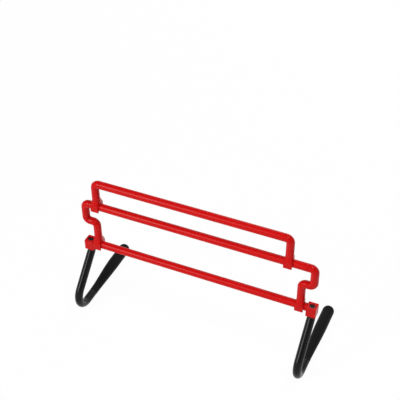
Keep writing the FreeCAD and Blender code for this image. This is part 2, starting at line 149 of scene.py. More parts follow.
class HurdleSizes(bpy.types.PropertyGroup):
    """Sizes of the dressed pieces that the frame does not give."""

    tube_wall: length("Tube wall", "Wall of the straight tubes", 2.5)
    tube_lip: length("Tube lip", "Rounding of a cut tube end", 0.5)
    elbow_radius: length("Elbow radius", "Bend of the moulded elbows on their axis", 9)
    arm_stub: length("Arm stub", "Straight run between an elbow and its tube", 3)
    arm_step: length("Arm step", "Clip of a mid arm out to its upper run", 23.5)
    step_drop: length("Step drop", "Mid bar down to the level run of a mid arm", 43)
    spigot_length: length("Spigot length", "Depth of a spigot in its tube", 18)
    spigot_gap: length("Spigot gap", "Glue gap round a spigot", 0.05)
    mould_line: length("Mould line", "Height of the parting line on the arms", 0.18)
    mould_line_width: length("Mould line width", "Half width of the parting line", 0.45)
    clip_width: length("Clip width", "Length of the front jaw along its bar", 17)
    clip_rear_width: length("Rear jaw width", "Length of the rear jaw along its bar", 10.5)
    clip_gap: length("Clip gap", "Running gap between clip and bar", 0.08)
    clip_rear_wall: length("Rear jaw", "Wall of the rounded rear jaw", 8)
    clip_front_wall: length("Front jaw", "Wall of the flat front jaw", 3.4)
    clip_jaw_drop: length("Jaw drop", "Bar axis down to the jaw tips", 8)
    clip_mouth: length("Clip mouth", "Mouth of the clip at its jaw tips", 16.4)
    clip_neck: length("Clip neck", "Width that the tapered mouth reaches at the bar axis", 10.4)
    clip_edge: length("Clip edge", "Rounding of the edges of a clip", 0.7)
    gusset_front_top: length("Front gusset", "Bar axis up to where the front gusset ends", 19)
    gusset_rear_top: length("Rear gusset", "Bar axis up to where the rear gusset ends", 27)
    gusset_foot: length("Gusset foot", "Bar axis up to the foot of the gussets", 6)
    arm_root: length("Arm root", "Bar axis up to the lower end of the arm in its clip", 1)
    jaw_ease: length("Jaw ease", "Run over which a clip narrows from its front to its rear jaw", 5)
    clip_crown: length("Clip crown", "Bore up to the crown of the clip inside the arm", 2)
    bore_overrun: length("Bore overrun", "Cut of the bore past the ends and the tips of the jaws", 3)
    gusset_front_inset: length("Front gusset inset", "Front jaw in to the face of its gusset", 0.15)
    gusset_rear_inset: length("Rear gusset inset", "Rear jaw in to the face of its gusset", 0.6)
    gusset_side_inset: length("Side inset", "Side of the front jaw in to the side of its gusset", 0.25)
    foot_flare: length("Foot flare", "Side of the rear jaw out to the side of its gusset", 1.5)
    foot_draw: length("Foot draw", "How far the rear gusset draws in at its foot", 1.7)
    foot_top: length("Foot top", "Bar axis up to where the rear gusset starts to draw in", 8)
    foot_run: length("Foot run", "Height over which the rear gusset draws in", 7)
    spigot_chamfer: length("Spigot chamfer", "Chamfer at the end of a spigot", 1)
    sleeve_radius: length("Sleeve radius", "Outside radius of a leg sleeve", 8.4)
    rod_radius: length("Rod radius", "Radius of a leg rod", 6.1)
    rod_rim: length("Rod rim", "Rounding of the ends of a rod", 0.8)
    rod_core: length("Rod core", "Radius of the bare core in the end of a rod", 3.2)
    core_depth: length("Core depth", "End of a rod down to the bottom of its core", 1.2)
    core_rim: length("Core rim", "Slope at the rim of the core", 0.3)
    core_land: length("Core land", "Rim of the core out to the flat of the rod's end", 0.5)
    bare_depth: length("Bare depth", "End of a rod down to where bare steel may show", 2)
    cover_gap: length("Cover gap", "Gap between a rod and its covers", 0.05)
    cover_lip: length("Cover lip", "Rounding of the cut ends of the covers", 0.5)
    swivel_gap: length("Swivel gap", "Socket down to the top of the sleeve", 0.2)
    rod_recess: length("Rod recess", "Top of a socket down to the end of its rod", 2)
    knee_radius: length("Knee radius", "Bend under the socket on its axis", 11.5)
    knee_drop: length("Knee drop", "Socket down to the start of the knee", 2)
    heel_radius: length("Heel radius", "Bend at the floor on its axis", 29.5)
    heel_setback: length("Heel setback", "Socket axis forward to the middle of the heel bend", 39)
    sole_cut: length("Sole cut", "Depth of the flat sole", 0.5)
    boot_radius: length("Boot radius", "Radius of a boot where it is full", 12.2)
    boot_lead: length("Boot lead", "Socket axis forward to the front end of the boot", 14)
    boot_full: length("Boot full", "Socket axis back to where the boot is full", 85)
    boot_end_wall: length("Boot end wall", "End of the rod to the centre of the round tip", 8)


class HurdleColours(bpy.types.PropertyGroup):
    """Colours of the finishes."""

    tube_red: colour("Tube red", "Extruded tubes", "#C60B0A")
    moulded_red: colour("Moulded red", "Moulded end pieces", "#C40B0A")
    sleeve_black: colour("Sleeve black", "Leg sleeves", "#060708")
    boot_black: colour("Boot black", "Foot boots", "#101011")
    rod_black: colour("Rod black", "Painted rods", "#161617")
    core_grey: colour("Core grey", "Sawn rod ends", "#1E1F22")
    floor_white: colour("Floor white", "Studio floor", "#FAFAFA")


def grid_quads(rows, around, ring_rows=False):
    """Corner numbers of the quads between neighbouring rings; the last ring may join the first."""
    row = np.arange(rows if ring_rows else rows - 1)[:, None]
    place = np.arange(around)[None, :]
    next_row = (row + 1) % rows
    next_place = (place + 1) % around
    corners = [
        row * around + place,
        row * around + next_place,
        next_row * around + next_place,
        next_row * around + place,
    ]
    return np.stack(corners, axis=-1).reshape(-1, 4)


def ring_skin(rings):
    """Rings joined by quads all the way round and back to the first ring, as on a doughnut."""
    rows, around = rings.shape[:2]
    return rings.reshape(-1, 3), grid_quads(rows, around, ring_rows=True).tolist()


def capped_skin(rings):
    """Rings joined by quads, with a fan from the middle of each end ring to close it."""
    rows, around = rings.shape[:2]
    points = np.vstack([rings.reshape(-1, 3), rings[0].mean(axis=0), rings[-1].mean(axis=0)])
    place = np.arange(around)
    next_place = (place + 1) % around
    last = (rows - 1) * around
    start_fan = np.column_stack([np.full(around, rows * around), next_place, place])
    end_fan = np.column_stack([np.full(around, rows * around + 1), last + place, last + next_place])
    faces = grid_quads(rows, around).tolist() + start_fan.tolist() + end_fan.tolist()
    return points, faces


def rounded_route(corners, radii, step):
    """Straight runs joined by arcs that touch both runs.

    With unit runs a and b at a corner and the turn t between them, the arc starts
    radius * tan(t / 2) before the corner, and its point at turn u is
    middle + radius * (sin(u) a - cos(u) n), where n is the part of b that is square to a.
    Gives the points and the unit directions there.
    """
    corners = np.asarray(corners, float)
    points = []
    directions = []

    def straight(start, end, run):
        count = max(FEWEST_IN_RUN, int(np.ceil(np.linalg.norm(end - start) / step)) + 1)
        points.append(start + np.linspace(0, 1, count)[:, None] * (end - start))
        directions.append(np.tile(run, (count, 1)))

    start = corners[0]
    for before, here, after, radius in zip(corners, corners[1:], corners[2:], radii):
        a = (here - before) / np.linalg.norm(here - before)
        b = (after - here) / np.linalg.norm(after - here)
        turn = np.arccos(np.clip(a @ b, -1, 1))
        square = b - (a @ b) * a
        square /= np.linalg.norm(square)
        arc_start = here - a * radius * np.tan(turn / 2)
        straight(start, arc_start, a)
        count = max(FEWEST_IN_ARC, int(np.ceil(turn * radius / step)) + 1)
        u = np.linspace(0, turn, count)[:, None]
        arc_middle = arc_start + square * radius
        points.append(arc_middle + radius * (np.sin(u) * a - np.cos(u) * square))
        directions.append(np.cos(u) * a + np.sin(u) * square)
        start = points[-1][-1]
    last_run = (corners[-1] - start) / np.linalg.norm(corners[-1] - start)
    straight(start, corners[-1], last_run)
    points = np.concatenate(points)
    directions = np.concatenate(directions)
    apart = np.linalg.norm(np.diff(points, axis=0), axis=1) > ONE_POINT
    keep = np.concatenate([[True], apart])
    return points[keep], directions[keep]


def carried(points, directions, side, wide, high):
    """Section carried along a path: point + wide * side + high * (side x direction).

    wide and high hold one row of section places for each point of the path.
    """
    side = np.asarray(side, float)
    upward = np.cross(side, directions)
    return points[:, None] + wide[..., None] * side + high[..., None] * upward[:, None]


def angles(count):
    """Even turns round a circle."""
    return np.linspace(0, 2 * np.pi, count, endpoint=False)


def smooth_step(value):
    """Eases from 0 to 1: 3 v^2 - 2 v^3 with v held between 0 and 1."""
    held = np.clip(value, 0, 1)
    return held * held * (3 - 2 * held)


def new_mesh(name, points, faces):
    """Mesh with its doubles merged and its faces turned outwards."""
    mesh = bpy.data.meshes.new(name)
    mesh.from_pydata(np.asarray(points).tolist(), [], faces)
    work = bmesh.new()
    work.from_mesh(mesh)
    bmesh.ops.remove_doubles(work, verts=work.verts, dist=ONE_POINT)
    bmesh.ops.recalc_face_normals(work, faces=work.faces)
    work.to_mesh(mesh)
    work.free()
    return mesh


def new_object(name, content):
    """Object at the origin that holds a mesh, a lamp or a lens."""
    thing = bpy.data.objects.new(name, content)
    bpy.context.scene.collection.objects.link(thing)
    return thing


def dressed(node, mesh, body, material, sharp_degrees=38):
    """Piece that stands for a node, smooth but for the edges that are sharper than an angle."""
    mesh.shade_smooth()
    mesh.set_sharp_from_angle(angle=math.radians(sharp_degrees))
    mesh.materials.append(material)
    piece = new_object(f"{node}_dressed", mesh)
    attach(piece, body)
    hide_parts(node)
    return piece


def carved(name, solids, tool):
    """One closed skin: the solids joined by exact unions, less a tool."""
    things = [new_object(f"{name}_part_{index}", mesh) for index, mesh in enumerate([*solids, tool])]
    whole = things[0]
    for other in things[1:]:
        step = whole.modifiers.new("step", "BOOLEAN")
        step.operation = "DIFFERENCE" if other is things[-1] else "UNION"
        step.solver = "EXACT"
        step.object = other
    graph = bpy.context.evaluated_depsgraph_get()
    mesh = bpy.data.meshes.new_from_object(whole.evaluated_get(graph))
    for spare in things:
        spare_mesh = spare.data
        bpy.data.objects.remove(spare)
        bpy.data.meshes.remove(spare_mesh)
    mesh.name = name
    return mesh


def tube_mesh(name, low_x, high_x, height, sizes):
    """Extruded tube: a wall outline in (x, radius) turned about the bar's axis.

    The outline runs along the outside and back along the bore, and each of its four corners
    is a quarter round: place = corner middle + lip * (cos(u), sin(u)).
    """
    lip = sizes.tube_lip
    outside = BAR_RADIUS
    bore = BAR_RADIUS - sizes.tube_wall
    quarter = np.linspace(0, np.pi / 2, TUBE_LIP_POINTS)
    middles = [
        (low_x + lip, outside - lip, np.pi),
        (high_x - lip, outside - lip, np.pi / 2),
        (high_x - lip, bore + lip, 0),
        (low_x + lip, bore + lip, -np.pi / 2),
    ]
    corners = [
        np.column_stack([x + lip * np.cos(turn - quarter), r + lip * np.sin(turn - quarter)])
        for x, r, turn in middles
    ]
    run_share = np.linspace(0, 1, TUBE_RUN_POINTS)[1:-1, None]
    outer_run = corners[0][-1] + run_share * (corners[1][0] - corners[0][-1])
    inner_run = corners[2][-1] + run_share * (corners[3][0] - corners[2][-1])
    outline = np.concatenate([corners[0], outer_run, corners[1], corners[2], inner_run, corners[3]])
    turn = angles(TUBE_AROUND)[None, :]
    radius = outline[:, 1:]
    along = np.broadcast_to(outline[:, :1], (len(outline), turn.size))
    rings = np.stack([along, BAR_Y + radius * np.cos(turn), height + radius * np.sin(turn)], axis=-1)
    points, faces = ring_skin(rings)
    return new_mesh(name, points, faces)


def evenly(loop, count):
    """Closed loop of points spaced evenly along its own length."""
    closed = np.vstack([loop, loop[:1]])
    reach = np.concatenate([[0], np.cumsum(np.linalg.norm(np.diff(closed, axis=0), axis=1))])
    even = np.linspace(0, reach[-1], count, endpoint=False)
    return np.column_stack([np.interp(even, reach, closed[:, k]) for k in (0, 1)]), reach[-1]


def eased_loop(loop, count, rounding):
    """Even loop whose corners are rounded: each coordinate is blurred round the loop with a bell."""
    spaced, whole = evenly(loop, count)
    waves = np.fft.fftfreq(count, d=whole / count)
    bell = np.exp(-2 * (np.pi * waves * rounding / 2) ** 2)
    return np.column_stack([np.fft.ifft(np.fft.fft(spaced[:, k]) * bell).real for k in (0, 1)])


def outward(loop):
    """Unit directions out of a closed loop, square to it."""
    along = np.roll(loop, -1, axis=0) - np.roll(loop, 1, axis=0)
    across = np.column_stack([along[:, 1], -along[:, 0]])
    following = np.roll(loop, -1, axis=0)
    area = np.sum(loop[:, 0] * following[:, 1] - loop[:, 1] * following[:, 0])
    return np.sign(area) * across / np.linalg.norm(across, axis=1)[:, None]


def jaw_half(back, sizes):
    """Half length of the clip along the bar: wide at the front jaw, easing to the narrow rear jaw."""
    narrow = sizes.clip_rear_width / 2
    wide = sizes.clip_width / 2
    ease = sizes.jaw_ease
    return narrow + (wide - narrow) * smooth_step((ease / 2 - back) / ease)


def along_bar(loop, shares, offsets, middle_x, height, sizes):
    """Rings of a loop in (back, up) at shares of the clip's half length, moved out by offsets."""
    section = loop[None] + offsets[:, None, None] * outward(loop)[None]
    half = jaw_half(loop[:, 0], sizes)[None, :]
    x = middle_x + shares[0][:, None] * half + shares[1][:, None]
    return np.stack([x, BAR_Y + section[..., 0], height + section[..., 1]], axis=-1)


def clip_block(name, middle_x, height, sizes):
    """Solid of a clip before its bore: flat front jaw, flat tips and rounded rear.

    The outline is carried along the bar. At an end it sits edge * (1 - sin u) inside itself and
    edge * (1 - cos u) short of the end face, which rounds every edge there.
    """
    bore = BAR_RADIUS + sizes.clip_gap
    rear = bore + sizes.clip_rear_wall
    face = bore + sizes.clip_front_wall
    tip = -sizes.clip_jaw_drop
    edge = sizes.clip_edge
    # Over the bar the outline stays inside the arm, whose gussets cover it
    turn = np.linspace(REAR_ROUND_START, math.asin(tip / rear), CLIP_REAR_POINTS)
    loop = np.vstack([
        [[-face, tip], [-face, sizes.gusset_foot], [0, bore + sizes.clip_crown]],
        rear * np.column_stack([np.cos(turn), np.sin(turn)]),
    ])
    loop = eased_loop(loop, CLIP_AROUND, CORNER_EASE_SHARE * edge)
    u = np.linspace(0, np.pi / 2, CLIP_EDGE_POINTS)
    inset = -edge * (1 - np.sin(u))
    short = edge * (1 - np.cos(u))
    run = np.linspace(-1, 1, CLIP_RUN_POINTS)[1:-1]
    shares = (
        np.concatenate([-np.ones(u.size), run, np.ones(u.size)]),
        np.concatenate([short, np.zeros(run.size), -short[::-1]]),
    )
    offsets = np.concatenate([inset, np.zeros(run.size), inset[::-1]])
    rings = along_bar(loop, shares, offsets, middle_x, height, sizes)
    return new_mesh(name, *capped_skin(rings))


def bar_way(name, middle_x, height, sizes):
    """Tool for the bore and the tapered mouth of a clip, flared at both ends of the jaws.

    The taper meets the bore at the depth d where (neck + slope d)^2 + d^2 = bore^2.
    """
    bore = BAR_RADIUS + sizes.clip_gap
    drop = sizes.clip_jaw_drop
    neck = sizes.clip_neck / 2
    slope = (sizes.clip_mouth / 2 - neck) / drop
    square = 1 + slope * slope
    half_turn = neck * slope
    depth = (-half_turn + math.sqrt(half_turn ** 2 - square * (neck ** 2 - bore ** 2))) / square
    meet = math.asin(depth / bore)
    turn = np.linspace(-meet, math.pi + meet, BORE_TURN_POINTS)
    below = drop + sizes.bore_overrun
    mouth = neck + slope * below
    loop = np.vstack([
        [[-mouth, -below], [mouth, -below]],
        bore * np.column_stack([np.cos(turn), np.sin(turn)]),
    ])
    edge = BORE_EDGE_SHARE * sizes.clip_edge
    loop = eased_loop(loop, CLIP_AROUND, CORNER_EASE_SHARE * edge)
    u = np.linspace(0, np.pi / 2, BORE_EDGE_POINTS)
    flare = edge * (1 - np.cos(u))
    out = edge * np.sin(u) - edge
    ends = np.concatenate([[sizes.bore_overrun], out[::-1]])
    run = np.linspace(-1, 1, BORE_RUN_POINTS)[1:-1]
    shares = (
        np.concatenate([-np.ones(ends.size), run, np.ones(ends.size)]),
        np.concatenate([-ends, np.zeros(run.size), ends[::-1]]),
    )
    end_offsets = np.concatenate([[edge], flare[::-1]])
    offsets = np.concatenate([end_offsets, np.zeros(run.size), end_offsets[::-1]])
    rings = along_bar(loop, shares, offsets, middle_x, height, sizes)
    return new_mesh(name, *capped_skin(rings))


def arm_run(name, corners, clip_x, clip_height, sizes):
    """Round arm carried along its bent axis, from inside the clip up to the end of its spigot.

    Round the section, turn v gives across = a |cos v|^(2/p) and back = b |sin v|^(2/p), with signs.
    Down the arm b grows to the reach of the front jaw and of the rear jaw, and p from 2 to 5 at the
    front, which makes the gussets. A ridge where sin v is near 0 is the mould's parting line.
    """
    bends = [sizes.elbow_radius] * (len(corners) - 2)
    points, directions = rounded_route(corners, bends, ARM_AXIS_STEP)
    turn = angles(ARM_AROUND)[None, :]
    cos = np.cos(turn)
    sin = np.sin(turn)
    rise = points[:, 2:] - clip_height
    in_clip = np.abs(points[:, :1] - clip_x) < ON_LINE

    def gusset(top):
        return np.where(in_clip, smooth_step((top - rise) / (top - sizes.gusset_foot)), 0)

    front_share = gusset(sizes.gusset_front_top)
    rear_share = gusset(sizes.gusset_rear_top) ** REAR_GUSSET_POWER
    bore = BAR_RADIUS + sizes.clip_gap
    front = bore + sizes.clip_front_wall - sizes.gusset_front_inset
    rear = bore + sizes.clip_rear_wall - sizes.gusset_rear_inset
    behind = sin > 0
    share = np.where(behind, rear_share, front_share)
    reach = np.where(behind, rear, front)
    power = 2 / (2 + np.where(behind, REAR_SQUARING, FRONT_SQUARING) * share)
    narrow = smooth_step(REAR_NARROWING * sin) * rear_share
    low = smooth_step((sizes.foot_top - rise) / sizes.foot_run)
    foot = sizes.clip_rear_width / 2 + sizes.foot_flare - low * sizes.foot_draw
    across = BAR_RADIUS + front_share * (sizes.clip_width / 2 - sizes.gusset_side_inset - BAR_RADIUS)
    across = across - narrow * (across - foot)
    line = sizes.mould_line * np.exp(-(BAR_RADIUS * sin / sizes.mould_line_width) ** 2)
    line = line * (1 - front_share)
    high = (across + line) * np.sign(cos) * np.abs(cos) ** power
    wide = (BAR_RADIUS + share * (reach - BAR_RADIUS)) * np.sign(sin) * np.abs(sin) ** power
    rings = carried(points, directions, (0, 1, 0), wide, high)
    # The spigot is a smaller round section that goes on straight into the tube
    plug = BAR_RADIUS - sizes.tube_wall - sizes.spigot_gap
    lip = sizes.tube_lip
    chamfer = sizes.spigot_chamfer
    depth = np.array([0, 0, sizes.spigot_length - chamfer, sizes.spigot_length])
    radius = np.array([BAR_RADIUS - lip, plug, plug, plug - chamfer])[:, None]
    plug_points = points[-1] + depth[:, None] * directions[-1]
    plug_directions = np.tile(directions[-1], (depth.size, 1))
    plug_rings = carried(plug_points, plug_directions, (0, 1, 0), radius * sin, radius * cos)
    butt = rings[-1:] - lip * directions[-1]
    rings = np.concatenate([rings[:-1], butt, plug_rings])
    return new_mesh(name, *capped_skin(rings))


def leg_axis(side, top, end, sizes):
    """Bent axis of a leg: down, knee, slanted run, heel and back along the floor.

    The slanted run touches both bends. With the bend middles a distance apart, its lean from upright is
    asin((knee + heel) / distance) + atan2(setback - knee, height between the middles).
    """
    knee = sizes.knee_radius
    heel = sizes.heel_radius
    knee_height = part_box(f"{side}_socket")[0][2] - sizes.knee_drop
    foot_height = sizes.sleeve_radius - sizes.sole_cut
    across = sizes.heel_setback - knee
    down = knee_height - foot_height - heel
    lean = math.asin((knee + heel) / math.hypot(across, down)) + math.atan2(across, down)
    knee_corner = knee_height - knee * math.tan(lean / 2)
    heel_corner = -sizes.heel_setback - heel * math.tan((math.pi / 2 + lean) / 2)
    x = LEG_X[side]
    corners = [
        (x, BAR_Y, top),
        (x, BAR_Y, knee_corner),
        (x, BAR_Y + heel_corner, foot_height),
        (x, BAR_Y + end, foot_height),
    ]
    return rounded_route(corners, (knee, heel), LEG_AXIS_STEP)


def round_pipe(points, directions, radius, turn):
    """Circle carried along an axis that lies in a plane square to X."""
    radius = np.broadcast_to(np.asarray(radius, float), (len(points),))[:, None]
    return carried(points, directions, (1, 0, 0), radius * np.cos(turn), radius * np.sin(turn))


def on_floor(rings):
    """Rings with what lies under the floor pressed flat."""
    flat = rings.copy()
    flat[..., 2] = np.maximum(flat[..., 2], 0)
    return flat


def lip_ends(points, directions, lip):
    """Axis with short rounded ends, and how far the section draws in there: lip * (1 - sin u)."""
    u = np.linspace(0, np.pi / 2, COVER_LIP_POINTS)
    back = lip * (1 - np.cos(u))
    draw = lip * (1 - np.sin(u))
    start = points[0] + back[:, None] * directions[0]
    end = points[-1] - back[::-1, None] * directions[-1]
    inside = np.linalg.norm(points - points[0], axis=1) > lip
    inside &= np.linalg.norm(points - points[-1], axis=1) > lip
    middle_points = points[inside]
    middle_directions = directions[inside]
    axis = np.concatenate([start, middle_points, end])
    run = np.concatenate([
        np.tile(directions[0], (u.size, 1)),
        middle_directions,
        np.tile(directions[-1], (u.size, 1)),
    ])
    drawn = np.concatenate([draw, np.zeros(len(middle_points)), draw[::-1]])
    return axis, run, drawn


def sleeve_mesh(side, sizes):
    """Tubing: the outside of the pipe one way, its bore back the other way, round lips between."""
    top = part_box(f"{side}_socket")[0][2] - sizes.swivel_gap
    points, directions = leg_axis(side, top, -sizes.boot_lead, sizes)
    turn = angles(COVER_AROUND)[None, :]
    axis, run, drawn = lip_ends(points, directions, sizes.cover_lip)
    outside = on_floor(round_pipe(axis, run, sizes.sleeve_radius - drawn, turn))
    bore = round_pipe(points, directions, sizes.rod_radius + sizes.cover_gap, turn)
    return new_mesh(f"{side}_sleeve_skin", *ring_skin(np.concatenate([outside, bore[::-1]])))


def boot_mesh(side, sizes):
    """Boot: radius eases from the sleeve's to its full size, then a round tip, over a blind bore.

    Its middle stands at radius - sole cut, so that the sole stays on the floor while it swells.
    """
    turn = angles(COVER_AROUND)[None, :]
    full = sizes.boot_radius
    thin = sizes.sleeve_radius
    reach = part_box(f"{side}_foot_boot")[1][1] - BAR_Y - full
    start = -sizes.boot_lead
    bore_end = reach - sizes.boot_end_wall
    lip = sizes.cover_lip
    u = np.linspace(0, np.pi / 2, COVER_LIP_POINTS)
    run = np.linspace(start + lip, reach, BOOT_RUN_POINTS)[1:]
    tip = np.linspace(0, np.pi / 2, BOOT_TIP_POINTS)[1:-1]
    along = np.concatenate([start + lip * (1 - np.cos(u)), run, reach + full * np.sin(tip)])
    swell = thin + smooth_step((along - start) / (sizes.boot_full - start)) * (full - thin)
    drawn = np.concatenate([lip * (1 - np.sin(u)), np.zeros(run.size)])
    radius = np.concatenate([swell[:drawn.size] - drawn, full * np.cos(tip)])
    height = np.minimum(swell, full) - sizes.sole_cut
    x = LEG_X[side] + radius[:, None] * np.sin(turn)
    y = BAR_Y + np.broadcast_to(along[:, None], x.shape)
    z = height[:, None] + radius[:, None] * np.cos(turn)
    outside = on_floor(np.stack([x, y, z], axis=-1))
    bore_radius = sizes.rod_radius + sizes.cover_gap
    bore_y = np.linspace(bore_end, start, BOOT_BORE_POINTS)[:, None]
    bore_x = np.broadcast_to(LEG_X[side] + bore_radius * np.sin(turn), (BOOT_BORE_POINTS, turn.size))
    bore_z = np.broadcast_to(thin - sizes.sole_cut + bore_radius * np.cos(turn), bore_x.shape)
    bore = np.stack([bore_x, BAR_Y + np.broadcast_to(bore_y, bore_x.shape), bore_z], axis=-1)
    return new_mesh(f"{side}_boot_skin", *capped_skin(np.concatenate([bore, outside])))


def rod_mesh(side, sizes):
    """Bent rod with a rounded rim at its top and a dished core that the paint leaves bare."""
    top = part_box(f"{side}_socket")[1][2] - sizes.rod_recess
    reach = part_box(f"{side}_foot_boot")[1][1] - BAR_Y - sizes.boot_radius - sizes.boot_end_wall
    points, directions = leg_axis(side, top, reach, sizes)
    turn = angles(ROD_AROUND)[None, :]
    axis, run, drawn = lip_ends(points, directions, sizes.rod_rim)
    pipe = round_pipe(axis, run, sizes.rod_radius - drawn, turn)
    core = sizes.rod_core
    rim = sizes.core_rim
    depth = np.array([sizes.core_depth, sizes.core_depth, rim, 0])
    radius = np.array([CORE_EYE_SHARE * core, core - rim, core, core + sizes.core_land])
    down = points[0] + depth[:, None] * directions[0]
    dish = round_pipe(down, np.tile(directions[0], (depth.size, 1)), radius, turn)
    mesh = new_mesh(f"{side}_rod_skin", *capped_skin(np.concatenate([dish, pipe])))
    middles = np.empty(len(mesh.polygons) * 3)
    mesh.polygons.foreach_get("center", middles)
    off_axis = middles.reshape(-1, 3) - np.array([LEG_X[side], BAR_Y, top])
    bare = (np.hypot(off_axis[:, 0], off_axis[:, 1]) < core) & (off_axis[:, 2] > -sizes.bare_depth)
    mesh.polygons.foreach_set("material_index", bare.astype(np.int32))
    return mesh


class HURDLE_OT_bars(bpy.types.Operator):
    """Make the three extruded tubes"""

    bl_idname = "hurdle.bars"
    bl_label = "Bars"

    def execute(self, context):
        sizes = context.scene.hurdle_sizes
        for node, body in BAR_BODIES.items():
            low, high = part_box(node)
            mesh = tube_mesh(f"{node}_wall", low[0], high[0], BAR_HEIGHTS[node], sizes)
            dressed(node, mesh, body, finish("red_extruded_abs"))
        return {"FINISHED"}


class HURDLE_OT_sockets(bpy.types.Operator):
    """Finish the two leg sockets"""

    bl_idname = "hurdle.sockets"
    bl_label = "Leg sockets"

    def execute(self, context):
        for side in SIDES:
            coat(f"{side}_socket", finish("red_moulded_abs"))
        return {"FINISHED"}


class HURDLE_OT_arms(bpy.types.Operator):
    """Make the moulded arms of both frames with their snap clips"""

    bl_idname = "hurdle.arms"
    bl_label = "Arms and clips"

    def execute(self, context):
        sizes = context.scene.hurdle_sizes
        for tier, lower in (("mid", "base_bar"), ("top", "mid_bar")):
            bar = f"{tier}_bar"
            bar_low, bar_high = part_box(bar)
            top = BAR_HEIGHTS[bar]
            clip_height = BAR_HEIGHTS[lower]
            root = clip_height + sizes.arm_root
            for side, sign in SIDES.items():
                tube_end = bar_high[0] if sign > 0 else bar_low[0]
                arm_x = tube_end + sign * (sizes.arm_stub + sizes.elbow_radius)
                step = sizes.arm_step if tier == "mid" else 0
                clip_x = arm_x - sign * step
                corners = [(clip_x, BAR_Y, root)]
                if step:
                    corners.append((clip_x, BAR_Y, top - sizes.step_drop))
                    corners.append((arm_x, BAR_Y, top - sizes.step_drop))
                corners.append((arm_x, BAR_Y, top))
                corners.append((tube_end, BAR_Y, top))
                node = f"{side}_{tier}_arm"
                run = arm_run(f"{node}_run", corners, clip_x, clip_height, sizes)
                block = clip_block(f"{node}_clip", clip_x, clip_height, sizes)
                way = bar_way(f"{node}_bore", clip_x, clip_height, sizes)
                whole = carved(f"{node}_skin", (run, block), way)
                dressed(node, whole, f"{tier}_frame", finish("red_moulded_abs"))
        return {"FINISHED"}


class HURDLE_OT_legs(bpy.types.Operator):
    """Make the leg sleeves and foot boots, and finish the rods"""

    bl_idname = "hurdle.legs"
    bl_label = "Legs"

    def execute(self, context):
        sizes = context.scene.hurdle_sizes
        for side in SIDES:
            body = f"{side}_leg"
            steel = finish("painted_steel")
            rod = dressed(f"{side}_leg_rod", rod_mesh(side, sizes), body, steel)
            rod.data.materials.append(finish("sawn_steel"))
            vinyl = finish("black_vinyl")
            dressed(f"{side}_leg_sleeve", sleeve_mesh(side, sizes), body, vinyl)
            rubber = finish("black_rubber")
            dressed(f"{side}_foot_boot", boot_mesh(side, sizes), body, rubber)
        return {"FINISHED"}


def coat(node, material):
    """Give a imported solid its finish."""
    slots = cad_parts[node].data.materials
    slots.clear()
    slots.append(material)


def add(tree, kind, sockets=None, **settings):
    """Add a node, set its options, and fill or link its inputs."""
    node = tree.nodes.new(kind)
    for name, value in settings.items():
        setattr(node, name, value)
    for name, value in (sockets or {}).items():
        socket = node.inputs[name]
        if isinstance(value, bpy.types.NodeSocket):
            tree.links.new(value, socket)
        else:
            socket.default_value = value
    return node


def per_metre(millimetres):
    """Scale of a pattern whose features are this far apart."""
    return 1 / (millimetres * MM)


def shade(rgb, factor):
    """Lighter or darker version of a colour, with its alpha."""
    return (*(min(1.0, value * factor) for value in rgb), 1.0)


# Noise values at which a pattern reaches its ends
NOISE_LOW = 0.3
NOISE_HIGH = 0.7

# Typical refraction of the plastics, the rubber and the enamel
ABS_IOR = 1.53
VINYL_IOR = 1.53
RUBBER_IOR = 1.52
ENAMEL_IOR = 1.5

# Floor: reach at which its even white starts and is full, in metres, and its share at the start
WHITE_START = 0.6
WHITE_REACH = 2.5
WHITE_START_SHARE = 0.96


def blank(name):
    """New node material with its shader, its tree and its object coordinates."""
    material = bpy.data.materials.new(name)
    material.use_nodes = True
    tree = material.node_tree
    tree.nodes.clear()
    shader = add(tree, "ShaderNodeBsdfPrincipled")
    add(tree, "ShaderNodeOutputMaterial", {"Surface": shader.outputs["BSDF"]})
    place = add(tree, "ShaderNodeTexCoord").outputs["Object"]
    return material, tree, shader, place


def patterned(tree, shader, colour, tones, cloud, gloss=None, grain=None, bump=None):
    """Lets patterns steer a finish.

    The cloud takes the colour from its darker to its lighter tone. The grain takes the roughness from
    the first to the second value of gloss, and lifts the surface by a bump of some strength and depth.
    """
    dark, light = (shade(colour, tone) for tone in tones)
    tint = add(tree, "ShaderNodeMix", {0: cloud, 6: dark, 7: light}, data_type="RGBA")
    tree.links.new(tint.outputs[2], shader.inputs["Base Color"])
    if gloss:
        ends = {1: NOISE_LOW, 2: NOISE_HIGH, 3: gloss[0], 4: gloss[1]}
        rough = add(tree, "ShaderNodeMapRange", {0: grain, **ends})
        tree.links.new(rough.outputs[0], shader.inputs["Roughness"])
    if bump:
        lift = add(tree, "ShaderNodeBump", {"Height": grain, "Strength": bump[0], "Distance": bump[1]})
        tree.links.new(lift.outputs[0], shader.inputs["Normal"])


def red_moulded_abs(colours):
    """ABS moulded in a polished mould: an even gloss with faint orange peel and cloudy flow."""
    material, tree, shader, place = blank("red_moulded_abs")
    flow = add(tree, "ShaderNodeTexNoise", {"Vector": place, "Scale": per_metre(22), "Detail": 2.0})
    # Real orange peel is about half a millimetre; it is drawn coarser so that it shows
    peel = add(tree, "ShaderNodeTexNoise", {"Vector": place, "Scale": per_metre(1.6), "Detail": 3.0})
    patterned(
        tree, shader, colours.moulded_red, tones=(0.93, 1.07), cloud=flow.outputs[0],
        gloss=(0.22, 0.3), grain=peel.outputs[0], bump=(0.25, 0.05 * MM),
    )
    shader.inputs["IOR"].default_value = ABS_IOR
    shader.inputs["Specular IOR Level"].default_value = 0.1
    return material


